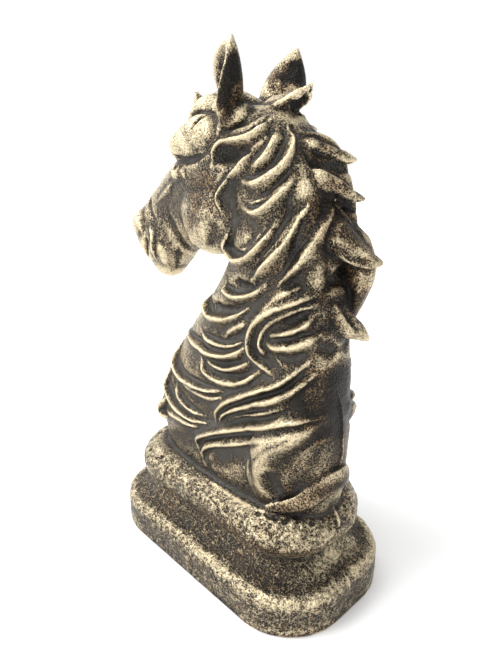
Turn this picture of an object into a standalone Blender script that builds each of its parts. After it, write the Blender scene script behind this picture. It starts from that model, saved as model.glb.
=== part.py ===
"""Horse head bust on a stepped base, one iron casting.

The horse looks along -X, its left side faces -Y and +Z is up. The origin is the centre of the
flat underside. All driving sizes are in metres. The horse is a free form: its forms are drawn in
millimetres above its seat on the base, for a figure 200 mm high, and follow FIGURE_HEIGHT.
"""

import math

import bmesh
import bpy
import numpy as np
from mathutils import Vector
from mathutils.bvhtree import BVHTree

# Horse, which also sets the size of its base
FIGURE_HEIGHT = 0.200
DRAWN_HEIGHT = 200.0
SEAT_SINK = 0.0010

# Roll under the neck: how far it stands out past the neck's foot, its corners and its section
ROLL_END_LEDGE = 0.009
ROLL_SIDE_LEDGE = 0.0115
ROLL_CORNER = 0.031
ROLL_DEPTH = 0.0118
ROLL_RISE = 0.0105
ROLL_UNDERCUT = math.radians(72)
ROLL_INNER_TURN = math.radians(112)

# Plinth: how far it stands out past the roll, its corners and its profile
PLINTH_END_STEP = 0.0085
PLINTH_SIDE_STEP = 0.007
PLINTH_CORNER = 0.032
PLINTH_SIDE_HEIGHT = 0.0155
PLINTH_EDGE_RADIUS = 0.0045
PLINTH_EDGE_TURN = math.radians(80)
FOOT_CHAMFER = 0.0008
COVE_HEIGHT = 0.010
COVE_HOLLOWNESS = 2.4

# Fineness of the solid
BASE_SIDES = 56
BODY_VOXEL = 0.0016
CARVING_VOXEL = 0.0012
HORSE_TRIANGLES = 7600

COVE_TOP = PLINTH_SIDE_HEIGHT + PLINTH_EDGE_RADIUS + COVE_HEIGHT
ROLL_CENTRE = COVE_TOP + ROLL_RISE * math.sin(ROLL_UNDERCUT)
SEAT = ROLL_CENTRE + ROLL_RISE - SEAT_SINK
SCALE = FIGURE_HEIGHT / DRAWN_HEIGHT

# Neck: height, throat and chest line, crest line, half width, squareness
NECK = [
    (-10, -53, 58, 23.0, 2.6),
    (0, -54, 60, 23.5, 2.6),
    (12, -57, 62, 24.0, 2.6),
    (26, -59, 61, 24.0, 2.5),
    (42, -53, 60, 24.0, 2.4),
    (60, -40, 60, 23.5, 2.4),
    (80, -24, 60, 22.5, 2.4),
    (100, -7, 58, 21.5, 2.3),
    (116, 2, 54, 20.5, 2.2),
    (132, 4, 50, 20.0, 2.1),
    (146, 3, 45, 19.0, 2.1),
    (160, -2, 40, 17.5, 2.0),
    (170, -4, 34, 15.0, 2.0),
    (176, 0, 26, 10.0, 2.0),
]

# Head: brow and nose line (x, z), jaw line (x, z), half width, squareness, wider above or below
HEAD = [
    (22, 174, 24, 126, 13.0, 2.2, 0.0),
    (8, 178, 12, 119, 17.0, 2.3, 0.0),
    (-8, 178, 4, 114.5, 18.5, 2.3, 0.0),
    (-21, 171, -4, 113, 18.5, 2.4, 0.1),
    (-34, 158.5, -13, 114.5, 16.0, 2.5, 0.1),
    (-48, 149.5, -23, 115, 13.5, 2.5, 0.1),
    (-59, 142.5, -32, 113, 11.8, 2.5, 0.0),
    (-69.5, 135.5, -41, 105, 11.8, 2.4, -0.1),
    (-77.5, 128, -50, 98, 12.0, 2.4, -0.1),
    (-81, 119, -61, 97, 10.8, 2.3, 0.0),
    (-80, 112, -70, 102, 7.0, 2.2, 0.0),
]

# Swellings of the head: centre and half sizes, on both sides where the centre is off the mid-plane
SWELLINGS = [
    ((-6, 12.5, 132), (22, 7.5, 19.5)),
    ((-20, 12.5, 161), (12, 8.5, 7.5)),
    ((-15, 13, 162.5), (12, 7.8, 8.5)),
    ((-9, 13, 164), (12, 7.5, 9)),
    ((-73, 6.5, 120), (8, 6, 8.5)),
    ((-58, 0, 101), (10.5, 9.5, 9)),
    ((-26, 15, 150), (5, 3.5, 4)),
    ((38, 9, 36), (19, 15, 38)),
]

# Locks on both flanks: root (x, z), tip (x, z), bow at a third and two thirds, width, rise
LOCKS = [
    (8, 176, -4, 164, 1, 1, 8, 3.0),
    (26, 170, -3, 152, 3, 6, 12, 4.5),
    (25, 161, 7, 133, 1, 5.5, 8, 4.0),
    (31, 168, 23, 152, -3.5, -2.5, 8, 3.0),
    (36, 168, 18, 146, -7, -7.5, 11, 4.0),
    (43, 156, 20, 138, -5, -5.5, 11, 4.0),
    (46, 148, 19, 134, -3, -4.5, 9, 3.5),
    (48, 146, 26, 108, -5, -4, 12, 4.5),
    (38, 131, 8, 123, -5, -9.5, 11, 4.5),
    (50, 142, 42, 107, -4.5, -4.5, 13, 4.5),
    (11, 106, 33, 106, 7, 8, 8, 3.5),
    (-15, 93, 23, 95, 9, 7, 8, 3.5),
    (57, 106, 43, 65, 17, 19, 11, 5.0),
    (57, 96, 36, 84, -2, -1, 7, 3.0),
    (55, 86, 34, 82, -1.5, -2, 9, 3.5),
    (-25, 79, 24, 77, 10, 10, 9, 3.5),
    (-11, 67, 30, 67, 9, 10, 9, 4.0),
    (-32, 67, 11, 48, 14, 12, 10, 3.5),
    (-44, 52, 4, 32, 15, 12.5, 10, 3.5),
    (-58, 31, -44, 18, 3, 4, 8, 4.0),
    (56, 78, 5, 30, 1, 8, 13, 4.5),
    (51, 66, 8, 34, -2, 2, 8, 3.5),
    (60, 51, -7, 5, 6, 14, 14, 4.5),
    (40, 40, -10, 8, 0, 3.5, 8, 3.5),
    (56, 48, 43, 1, 14, 15.5, 10, 4.5),
    (58, 44, 52, 7, 4, 5, 22, 3.5),
]

# Fuller hair behind the crest, free tips, the hem and the forelock: points (x, y, z), width, rise
TRESSES = [
    ([(38, -8, 160), (44, -8, 145), (48, -8, 128), (51, -8, 105), (52, -8, 84)], 14, 6.0),
    ([(30, 5, 164), (37, 7, 160), (43, 9, 152), (47, 11, 141), (50, 12, 128), (52, 12, 112)], 17, 7.5),
    ([(47, 9, 132), (53, 13, 121), (56, 15, 108), (56, 14, 95), (53, 11, 80)], 18, 8.0),
    ([(33, -7, 163), (39, -4, 161), (44, 1, 158.5), (48, 7, 156), (52, 14, 155)], 10, 4.5),
    ([(41, -8, 153), (46, -4, 149.5), (50, 1, 146), (54, 7, 143), (57, 14, 140.5)], 10, 4.5),
    ([(48, -4, 141), (52, 1, 132), (57, 6, 125), (61, 11, 119), (66, 16, 116.5)], 12, 5.0),
    ([(52, -4, 108), (57, 2, 98), (60, 7, 91), (64, 13, 83)], 14, 5.0),
    ([(46, -21, 3), (58, -14, 8), (63, -4, 15), (63, 4, 15), (58, 14, 8), (46, 21, 3)], 8, 3.5),
    ([(13, 1, 173), (23, 3, 175), (31, 4, 178), (35, 5, 184)], 14, 6.0),
    ([(14, -1, 176), (2, -4, 179), (-8, -6, 179), (-16, -8, 178), (-21, -9, 183.5)], 12, 5.0),
    ([(10, 6, 175), (-4, 6, 178), (-15, 5, 174), (-23, 4, 165)], 9, 4.0),
    ([(10, -6, 175), (-4, -6, 178), (-15, -5, 174), (-23, -4, 165)], 9, 3.0),
]

# Ears: root, tip, bow of the middle, full width, full depth, opening turned out from straight ahead
EAR_ROOT = (2, 12, 165)
EAR_TIP = (14, 18, 200.5)
EAR_BOW = (-2.0, 2.4, 0)
EAR_WIDTH = 14.5
EAR_DEPTH = 13.0
EAR_TURN = math.radians(55)


def place(x, y, z):
    """A drawn point of the horse, in metres."""
    return Vector((x * SCALE, y * SCALE, SEAT + z * SCALE))


def catmull(points, steps):
    """A smooth path through control points, as an array with `steps` samples a span."""
    points = np.array(points, float)
    padded = np.vstack([2 * points[0] - points[1], points, 2 * points[-1] - points[-2]])
    path = []
    for i in range(1, len(padded) - 2):
        a, b, c, d = padded[i - 1 : i + 3]
        for t in np.arange(steps) / steps:
            curve = 2 * b + (c - a) * t + (2 * a - 5 * b + 4 * c - d) * t**2
            path.append(0.5 * (curve + (3 * b - a - 3 * c + d) * t**3))
    path.append(points[-1])
    return np.array(path)


def loft(shape, rings):
    """Adds to a bmesh the closed skin through rings of equally many points."""
    levels = [[shape.verts.new(point) for point in ring] for ring in rings]
    count = len(levels[0])
    for lower, upper in zip(levels, levels[1:]):
        for i in range(count):
            j = (i + 1) % count
            shape.faces.new((lower[i], lower[j], upper[j], upper[i]))
    shape.faces.new(reversed(levels[0]))
    shape.faces.new(levels[-1])


def mesh_of(shape, name):
    """A mesh from a bmesh, with its faces pointing out."""
    bmesh.ops.recalc_face_normals(shape, faces=shape.faces)
    mesh = bpy.data.meshes.new(name)
    shape.to_mesh(mesh)
    shape.free()
    return mesh


def round_rectangle(half_length, half_width, corner, height):
    """A level ring with rounded corners, with BASE_SIDES points."""
    corner = min(corner, half_width * 0.98, half_length * 0.98)
    ring = []
    per_corner = BASE_SIDES // 4
    for quarter in range(4):
        cx = (half_length - corner) * (1 if quarter in (0, 3) else -1)
        cy = (half_width - corner) * (1 if quarter in (0, 1) else -1)
        for i in range(per_corner):
            angle = math.radians(90 * (quarter + i / (per_corner - 1)))
            ring.append((cx + corner * math.cos(angle), cy + corner * math.sin(angle), height))
    return ring


def base_rings():
    """The base's rings: foot, plinth, rounded edge, cove and roll."""
    _, front, back, foot_half_width, _ = next(row for row in NECK if row[0] == 0)
    roll_half_length = (back - front) / 2 * SCALE + ROLL_END_LEDGE
    roll_half_width = foot_half_width * SCALE + ROLL_SIDE_LEDGE

    def plinth(inset, height):
        return round_rectangle(
            roll_half_length + PLINTH_END_STEP - inset,
            roll_half_width + PLINTH_SIDE_STEP - inset,
            PLINTH_CORNER - inset,
            height,
        )

    def roll(angle):
        inset = ROLL_DEPTH * (1 - math.cos(angle))
        height = ROLL_CENTRE + ROLL_RISE * math.sin(angle)
        return round_rectangle(roll_half_length - inset, roll_half_width - inset, ROLL_CORNER - inset, height)

    rings = [plinth(FOOT_CHAMFER, 0), plinth(0, FOOT_CHAMFER), plinth(0, PLINTH_SIDE_HEIGHT)]
    for step in (1, 2, 3):
        angle = step / 3 * PLINTH_EDGE_TURN
        inset = PLINTH_EDGE_RADIUS * (1 - math.cos(angle))
        rings.append(plinth(inset, PLINTH_SIDE_HEIGHT + PLINTH_EDGE_RADIUS * math.sin(angle)))
    edge, waist = np.array(rings[-1]), np.array(roll(-ROLL_UNDERCUT))
    for step in (1, 2, 3):
        share = step / 4
        ring = edge + (waist - edge) * share
        ring[:, 2] = edge[0, 2] + (waist[0, 2] - edge[0, 2]) * share**COVE_HOLLOWNESS
        rings.append([tuple(point) for point in ring])
    for step in range(10):
        rings.append(roll(-ROLL_UNDERCUT + step / 9 * (ROLL_UNDERCUT + ROLL_INNER_TURN)))
    return rings


def neck_rings(sides=40):
    """Level sections of the neck, from inside the base to the poll."""
    rings = []
    for height, front, back, half_width, square in catmull(NECK, 3):
        centre, reach = (front + back) / 2, (back - front) / 2
        ring = []
        for i in range(sides):
            angle = math.tau * i / sides
            c, s = math.cos(angle), math.sin(angle)
            x = centre + reach * math.copysign(abs(c) ** (2 / square), c)
            y = half_width * math.copysign(abs(s) ** (2 / square), s)
            ring.append(place(x, y, height))
        rings.append(ring)
    return rings


def head_rings(sides=40):
    """Sections of the head across its length, from the poll to the lips."""
    rings = []
    for top_x, top_z, low_x, low_z, half_width, square, above in catmull(HEAD, 3):
        ring = []
        for i in range(sides):
            angle = math.tau * i / sides
            c, s = math.cos(angle), math.sin(angle)
            up = math.copysign(abs(c) ** (2 / square), c)
            side = half_width * math.copysign(abs(s) ** (2 / square), s) * (1 + above * up)
            share = (1 + up) / 2
            ring.append(place(low_x + (top_x - low_x) * share, side, low_z + (top_z - low_z) * share))
        rings.append(ring)
    return rings


def add_ball(shape, centre, radii):
    """Adds an ellipsoid on each side of the mid-plane, or one where it sits on it."""
    for side in (1, -1) if centre[1] else (1,):
        ball = bmesh.ops.create_uvsphere(shape, u_segments=24, v_segments=16, radius=SCALE)["verts"]
        bmesh.ops.scale(shape, vec=radii, verts=ball)
        bmesh.ops.translate(shape, vec=place(centre[0], centre[1] * side, centre[2]), verts=ball)


def remeshed(mesh, voxel, smoothing, name):
    """The mesh fused into one skin of even quads and smoothed."""
    thing = bpy.data.objects.new(name, mesh)
    bpy.context.scene.collection.objects.link(thing)
    fuse = thing.modifiers.new("fuse", "REMESH")
    fuse.mode = "VOXEL"
    fuse.voxel_size = voxel
    soften = thing.modifiers.new("soften", "SMOOTH")
    soften.factor = 0.5
    soften.iterations = smoothing
    seen = thing.evaluated_get(bpy.context.evaluated_depsgraph_get())
    result = bpy.data.meshes.new_from_object(seen)
    bpy.data.objects.remove(thing)
    return result


def body_mesh():
    """Neck and head without hair, fused and softened where they meet."""
    shape = bmesh.new()
    loft(shape, neck_rings())
    loft(shape, head_rings())
    for centre, radii in SWELLINGS:
        add_ball(shape, centre, radii)
    return remeshed(mesh_of(shape, "body"), BODY_VOXEL, 6, "body")


def on_flank(skin, x, z, side):
    """Where a drawn point seen from the side lies on the skin, with the skin's normal."""
    for _ in range(24):
        start = place(x, side * 60, z)
        hit, normal, _, _ = skin.ray_cast(start, Vector((0, -side, 0)))
        if hit is not None:
            return hit, normal
        x += 1 if x < 0 else -1
    raise ValueError(f"no skin beside {x}, {z}")


def add_sweep(shape, centres, normals, width, rise, lean=0, sides=10):
    """Adds a lock of hair: low at the root, fine at the tip, its ridge leaning to one edge."""
    count = len(centres)
    rings = []
    for i, (centre, normal) in enumerate(zip(centres, normals)):
        share = i / (count - 1)
        tangent = (centres[min(i + 1, count - 1)] - centres[max(i - 1, 0)]).normalized()
        across = tangent.cross(normal).normalized()
        out = across.cross(tangent)
        size = min(1.0, 0.45 + 2.2 * share) * (1 - max(0.0, (share - 0.45) / 0.55) ** 2 * 0.88)
        ring = []
        for k in range(sides):
            angle = math.tau * k / sides
            beside = math.cos(angle) + 0.55 * lean * max(0.0, math.sin(angle))
            ring.append(
                centre
                + across * (width / 2 * size * SCALE * beside)
                + out * (rise * size * SCALE * math.sin(angle))
            )
        rings.append(ring)
    loft(shape, rings)


def add_lock(shape, skin, lock, side):
    """Adds one lock that lies on the skin of a flank."""
    x0, z0, x1, z1, bow1, bow2, width, rise = lock
    span = math.hypot(x1 - x0, z1 - z0)
    dx, dz = (x1 - x0) / span, (z1 - z0) / span
    corners = [(x0, z0)]
    for share, bow in ((1 / 3, bow1), (2 / 3, bow2)):
        corners.append((x0 + share * span * dx + bow * dz, z0 + share * span * dz - bow * dx))
    corners.append((x1, z1))
    found = [on_flank(skin, x, z, side) for x, z in catmull(corners, 5)]
    lean = -side * math.copysign(1, bow1 + bow2)
    add_sweep(shape, [point for point, _ in found], [normal for _, normal in found], width, rise, lean)


def add_tress(shape, skin, tress):
    """Adds one thick lock along free points."""
    corners, width, rise = tress
    centres = [place(*point) for point in catmull(corners, 5)]
    normals = [skin.find_nearest(point)[1] for point in centres]
    add_sweep(shape, centres, normals, width, rise)


def add_ear(shape, side, sides=16, levels=9):
    """Adds an ear: a leaf with a hollow front, standing on the poll."""
    root = place(EAR_ROOT[0], side * EAR_ROOT[1], EAR_ROOT[2])
    tip = place(EAR_TIP[0], side * EAR_TIP[1], EAR_TIP[2])
    bow = Vector((EAR_BOW[0], side * EAR_BOW[1], EAR_BOW[2])) * SCALE
    along = (tip - root).normalized()
    ahead = Vector((-math.cos(EAR_TURN), side * math.sin(EAR_TURN), 0))
    across = along.cross(ahead).normalized()
    ahead = across.cross(along)
    rings = []
    for i in range(levels):
        share = i / (levels - 1)
        leaf = 0.8 + 0.42 * math.sin(math.pi * share**0.85) - 0.7 * share**4
        centre = root + (tip - root) * share + bow * math.sin(math.pi * share)
        ring = []
        for k in range(sides):
            angle = math.tau * k / sides
            depth = math.sin(angle)
            if depth > 0:
                depth *= 1 - 1.5 * math.sin(math.pi * share**0.7) * depth**6
            ring.append(
                centre
                + across * (math.cos(angle) * leaf * EAR_WIDTH / 2 * SCALE)
                + ahead * (depth * leaf * EAR_DEPTH / 2 * SCALE)
            )
        rings.append(ring)
    loft(shape, rings)


def horse_mesh():
    """Body, hair and ears fused into one skin."""
    body = body_mesh()
    skin = BVHTree.FromPolygons([v.co for v in body.vertices], [p.vertices for p in body.polygons])
    shape = bmesh.new()
    shape.from_mesh(body)
    for side in (-1, 1):
        for lock in LOCKS:
            add_lock(shape, skin, lock, side)
        add_ear(shape, side)
    for tress in TRESSES:
        add_tress(shape, skin, tress)
    return remeshed(mesh_of(shape, "horse"), CARVING_VOXEL, 1, "horse")


def main():
    """Builds the casting in a collection of its own."""
    for thing in list(bpy.data.objects):
        bpy.data.objects.remove(thing)
    collection = bpy.data.collections.new("horse_head_bust")
    bpy.context.scene.collection.children.link(collection)
    tools = bpy.data.collections.new("cutters")
    bpy.context.scene.collection.children.link(tools)

    casting = bpy.data.objects.new("horse_head_casting", horse_mesh())
    collection.objects.link(casting)
    iron = bpy.data.materials.new("bronzed_cast_iron")
    iron.use_nodes = True
    surface = iron.node_tree.nodes["Principled BSDF"]
    surface.inputs["Base Color"].default_value = (0.16, 0.12, 0.08, 1)
    surface.inputs["Metallic"].default_value = 0.7
    surface.inputs["Roughness"].default_value = 0.5
    casting.data.materials.clear()
    casting.data.materials.append(iron)

    thin = casting.modifiers.new("facets", "DECIMATE")
    thin.ratio = min(1.0, HORSE_TRIANGLES / (2 * len(casting.data.polygons)))

    shape = bmesh.new()
    loft(shape, base_rings())
    base = bpy.data.objects.new("base_form", mesh_of(shape, "base_form"))
    tools.objects.link(base)
    base.hide_render = True
    base.display_type = "WIRE"
    join = casting.modifiers.new("base", "BOOLEAN")
    join.operation = "UNION"
    join.object = base


main()
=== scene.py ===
"""Looks of a bronzed cast-iron horse head bust on its stepped base.

The bust is one casting, so one finely carved skin stands for its solid. Shape tables are in
millimetres. The horse's heights are counted from its seat on the base, and it looks along -X.
The locks of the mane are drawn over the photograph and cast onto the neck through its camera.
"""

from __future__ import annotations

import logging
import math
from dataclasses import astuple, dataclass, field
from typing import Sequence, Union

import bmesh
import bpy
import numpy as np
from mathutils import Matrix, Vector, noise
from mathutils.bvhtree import BVHTree

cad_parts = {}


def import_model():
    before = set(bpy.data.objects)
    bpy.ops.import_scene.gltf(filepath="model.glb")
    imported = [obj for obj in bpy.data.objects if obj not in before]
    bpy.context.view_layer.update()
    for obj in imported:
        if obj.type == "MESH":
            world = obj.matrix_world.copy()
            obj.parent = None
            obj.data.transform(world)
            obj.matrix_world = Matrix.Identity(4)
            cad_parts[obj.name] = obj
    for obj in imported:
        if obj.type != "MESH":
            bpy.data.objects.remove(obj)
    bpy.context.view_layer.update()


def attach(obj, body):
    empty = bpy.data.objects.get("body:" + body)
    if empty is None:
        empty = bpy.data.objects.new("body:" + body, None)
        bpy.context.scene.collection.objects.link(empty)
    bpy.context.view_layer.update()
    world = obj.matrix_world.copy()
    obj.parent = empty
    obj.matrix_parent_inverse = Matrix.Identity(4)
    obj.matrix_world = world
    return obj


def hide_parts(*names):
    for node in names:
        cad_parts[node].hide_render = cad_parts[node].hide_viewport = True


LOG = logging.getLogger("horse_head_bust")

MM = 0.001
TINY = 1e-12
SEAT_HEIGHT = 49.5

# Rounds of smoothing of the normals along a trail.
NORMAL_ROUNDS = 4

# How squarely a point must face a stroke: where it begins to count, and where it counts in full.
FACING = (0.1, 0.5)

# A tress's section and ends, as shares of its width and its length.
TRESS_SHARPNESS = 1.4
TRESS_ROOT = 0.45
TRESS_OPENING = 2.2
TRESS_WIDEST = 0.4
TRESS_TIP_LOSS = 0.8

Pixel = tuple[float, float]
Point = tuple[float, float, float]
Number = Union["Socket", float]


def catmull(points: Sequence, steps: int) -> np.ndarray:
    """A smooth path through control points.

    Args:
        points: Control points, each a tuple of numbers.
        steps: Samples for each span.

    Returns:
        The samples, one row each.
    """
    points = np.array(points, float)
    padded = np.vstack([2 * points[0] - points[1], points, 2 * points[-1] - points[-2]])
    share = (np.arange(steps) / steps)[:, None]
    spans = []
    for i in range(1, len(padded) - 2):
        a, b, c, d = padded[i - 1 : i + 3]
        curve = 2 * b + (c - a) * share + (2 * a - 5 * b + 4 * c - d) * share**2
        spans.append(0.5 * (curve + (3 * b - a - 3 * c + d) * share**3))
    return np.vstack(spans + [points[-1:]])


def smoothstep(low: float, high: float, value: np.ndarray) -> np.ndarray:
    """Rises smoothly from 0 at low to 1 at high."""
    share = np.clip((value - low) / (high - low), 0, 1)
    return share * share * (3 - 2 * share)


def drawn(x: float, y: float, z: float) -> Vector:
    """A point of the horse, given in millimetres above its seat, in metres."""
    return Vector((x, y, z + SEAT_HEIGHT)) * MM


def grown(start: float, share: np.ndarray) -> np.ndarray:
    """Grows from a start at share 0 to 1 at share 1."""
    return start + (1 - start) * share


def signed_power(wave: np.ndarray, power: float) -> np.ndarray:
    """Raises the size of numbers to a power and keeps their signs."""
    return np.sign(wave) * np.abs(wave) ** power


def placed(name: str, data: bpy.types.ID) -> bpy.types.Object:
    """Puts a new object in the scene.

    Args:
        name: Its name.
        data: Its mesh, lamp or camera.

    Returns:
        The object.
    """
    thing = bpy.data.objects.new(name, data)
    bpy.context.scene.collection.objects.link(thing)
    return thing


def applied(thing: bpy.types.Object) -> bpy.types.Mesh:
    """Applies an object's modifiers, and removes the object.

    Args:
        thing: The object.

    Returns:
        Its mesh as modified.
    """
    result = thing.evaluated_get(bpy.context.evaluated_depsgraph_get())
    result = bpy.data.meshes.new_from_object(result)
    bpy.data.objects.remove(thing)
    return result


@dataclass(frozen=True)
class PhotoCamera:
    """The camera that took the photograph, as fitted to the base and the ears."""

    position: Point = (0.18324, -0.17109, 0.20781)
    azimuth: float = math.radians(46.13)
    elevation: float = math.radians(18.97)
    focal_px: float = 529.7
    width_px: int = 500
    height_px: int = 667
    sensor_mm: float = 36.0
    clip_start: float = 0.01

    def axes(self) -> tuple[Vector, Vector, Vector]:
        """Its own directions.

        Returns:
            The directions to its right, up and backward.
        """
        level = math.cos(self.elevation)
        east, north = math.sin(self.azimuth) * level, -math.cos(self.azimuth) * level
        back = Vector((east, north, math.sin(self.elevation)))
        right = Vector((math.cos(self.azimuth), math.sin(self.azimuth), 0))
        return right, back.cross(right), back

    def ray(self, pixel: Pixel) -> Vector:
        """The direction in which a pixel of the photograph looks.

        Args:
            pixel: Its place, from the upper left corner.

        Returns:
            The direction, of length 1.
        """
        right, up, back = self.axes()
        across = (pixel[0] - self.width_px / 2) / self.focal_px
        down = (pixel[1] - self.height_px / 2) / self.focal_px
        return (right * across - up * down - back).normalized()

    def place(self) -> None:
        """Puts a camera like it in the scene and makes it the scene's camera."""
        camera = placed("photo_camera", bpy.data.cameras.new("photo_camera"))
        camera.location = self.position
        camera.rotation_mode = "QUATERNION"
        camera.rotation_quaternion = (-self.axes()[2]).to_track_quat("-Z", "Y")
        camera.data.sensor_width = self.sensor_mm
        camera.data.lens = self.focal_px * self.sensor_mm / self.height_px
        camera.data.clip_start = self.clip_start
        bpy.context.scene.camera = camera


def loft(shape: bmesh.types.BMesh, rings: Sequence[Sequence]) -> None:
    """Adds the closed skin through rings of equally many points, by extruding a circle.

    Args:
        shape: The mesh that it joins.
        rings: The rings' points in metres, from one end to the other.
    """
    count = len(rings[0])
    ring = bmesh.ops.create_circle(shape, cap_ends=True, segments=count, radius=MM)["verts"]
    for vert, point in zip(ring, rings[0]):
        vert.co = point
    edges = [shape.edges.get((ring[i], ring[(i + 1) % count])) for i in range(count)]
    for level in rings[1:]:
        made = bmesh.ops.extrude_edge_only(shape, edges=edges)["geom"]
        fresh = {item for item in made if isinstance(item, bmesh.types.BMVert)}
        ring = [next(e.other_vert(v) for e in v.link_edges if e.other_vert(v) in fresh) for v in ring]
        for vert, point in zip(ring, level):
            vert.co = point
        edges = [shape.edges.get((ring[i], ring[(i + 1) % count])) for i in range(count)]
    bmesh.ops.edgeloop_fill(shape, edges=edges)


def mesh_from(shape: bmesh.types.BMesh, name: str) -> bpy.types.Mesh:
    """Turns a bmesh into a mesh that faces outwards, and frees the bmesh.

    Args:
        shape: The bmesh.
        name: The mesh's name.

    Returns:
        The mesh.
    """
    bmesh.ops.recalc_face_normals(shape, faces=shape.faces)
    mesh = bpy.data.meshes.new(name)
    shape.to_mesh(mesh)
    shape.free()
    return mesh


def fused(mesh: bpy.types.Mesh, voxel_mm: float, rounds: int) -> bpy.types.Mesh:
    """Melts overlapping forms into one skin.

    Args:
        mesh: The overlapping closed forms.
        voxel_mm: Size of the new faces.
        rounds: Rounds of smoothing.

    Returns:
        The new mesh.
    """
    thing = placed(mesh.name, mesh)
    melt = thing.modifiers.new("melt", "REMESH")
    melt.mode = "VOXEL"
    melt.voxel_size = voxel_mm * MM
    if rounds:
        soften = thing.modifiers.new("soften", "SMOOTH")
        soften.factor = 0.5
        soften.iterations = rounds
    return applied(thing)


class Skin:
    """A surface onto which strokes are cast."""

    reaches: np.ndarray = np.arange(0.18, 0.40, 0.003)
    pixel_steps: int = 10
    point_steps: int = 8

    def __init__(self, mesh: bpy.types.Mesh, camera: PhotoCamera, lift_mm: float = 0.0) -> None:
        """Indexes the mesh for casting.

        Args:
            mesh: The surface.
            camera: The camera that pixels are cast from.
            lift_mm: How far above the surface the strokes' ridges will stand.
        """
        corners = [vert.co for vert in mesh.vertices]
        faces = [face.vertices for face in mesh.polygons]
        lifted = [vert.co + vert.normal * lift_mm * MM for vert in mesh.vertices]
        self.ground = BVHTree.FromPolygons(corners, faces)
        self.crest = BVHTree.FromPolygons(lifted, faces)
        self.camera = camera

    def under_pixel(self, pixel: Pixel) -> Vector:
        """Where a pixel of the photograph lands.

        Args:
            pixel: The pixel.

        Returns:
            The point on the surface or, for a pixel beside it, the point nearest to the pixel's ray.
        """
        start = Vector(self.camera.position)
        direction = self.camera.ray(pixel)
        hit = self.crest.ray_cast(start, direction)[0]
        if hit is None:
            found = [self.crest.find_nearest(start + direction * reach) for reach in self.reaches]
            hit = min(found, key=lambda item: item[3])[0]
        return self.ground.find_nearest(hit)[0]

    def trail(self, path: Sequence[Pixel]) -> "Trail":
        """A trail on the surface under a path drawn over the photograph."""
        points = catmull([self.under_pixel(pixel) for pixel in path], self.pixel_steps)
        return Trail.through([self.ground.find_nearest(Vector(point))[:2] for point in points])

    def free_trail(self, path: Sequence[Point]) -> "Trail":
        """A trail through free points, facing the way the nearest surface faces.

        Args:
            path: The points in millimetres, above the seat.

        Returns:
            The trail.
        """
        points = catmull([drawn(*point) for point in path], self.point_steps)
        found = [(Vector(point), self.ground.find_nearest(Vector(point))[1]) for point in points]
        return Trail.through(found)


@dataclass
class Trail:
    """A path with its directions along, across and outwards. Lengths in metres."""

    centres: np.ndarray
    along: np.ndarray
    across: np.ndarray
    out: np.ndarray

    @classmethod
    def through(cls, found: Sequence[tuple[Vector, Vector]]) -> "Trail":
        """A trail through points, whose across points to the outer side of its bend.

        Args:
            found: The points, each with its surface's normal.

        Returns:
            The trail.
        """
        centres = np.array([point for point, _ in found])
        out = np.array([normal for _, normal in found])
        kernel = np.array([0.25, 0.5, 0.25])
        for _ in range(NORMAL_ROUNDS):
            padded = np.pad(out, ((1, 1), (0, 0)), mode="edge")
            out = sum(weight * padded[i : i + len(out)] for i, weight in enumerate(kernel))
        along = np.gradient(centres, axis=0)
        along /= np.linalg.norm(along, axis=1, keepdims=True) + TINY
        across = np.cross(along, out)
        across /= np.linalg.norm(across, axis=1, keepdims=True) + TINY
        turning = np.einsum("ij,ij->i", np.cross(along[:-1], along[1:]), out[:-1]).sum()
        return cls(centres, along, across * (1.0 if turning > 0 else -1.0), out)

    def mirrored(self) -> "Trail":
        """The same trail on the other side."""
        flip = np.array([1, -1, 1])
        return Trail(self.centres * flip, self.along * flip, self.across * flip, self.out * flip)


@dataclass(frozen=True)
class Stroke:
    """A carver's stroke, drawn over the photograph from root to tip. Width and height in millimetres.

    With a lean of 1 it falls gently to the outer side of its bend and steeply to the inner side.
    With -1 it is the other way round, and with 0 both sides are alike.
    """

    path: tuple[Pixel, ...]
    width: float
    height: float
    lean: float = 1.0


@dataclass(frozen=True)
class Tress:
    """A thick lock along free points (x, y, z) above the seat."""

    path: tuple[Point, ...]
    width: float
    rise: float


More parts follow.
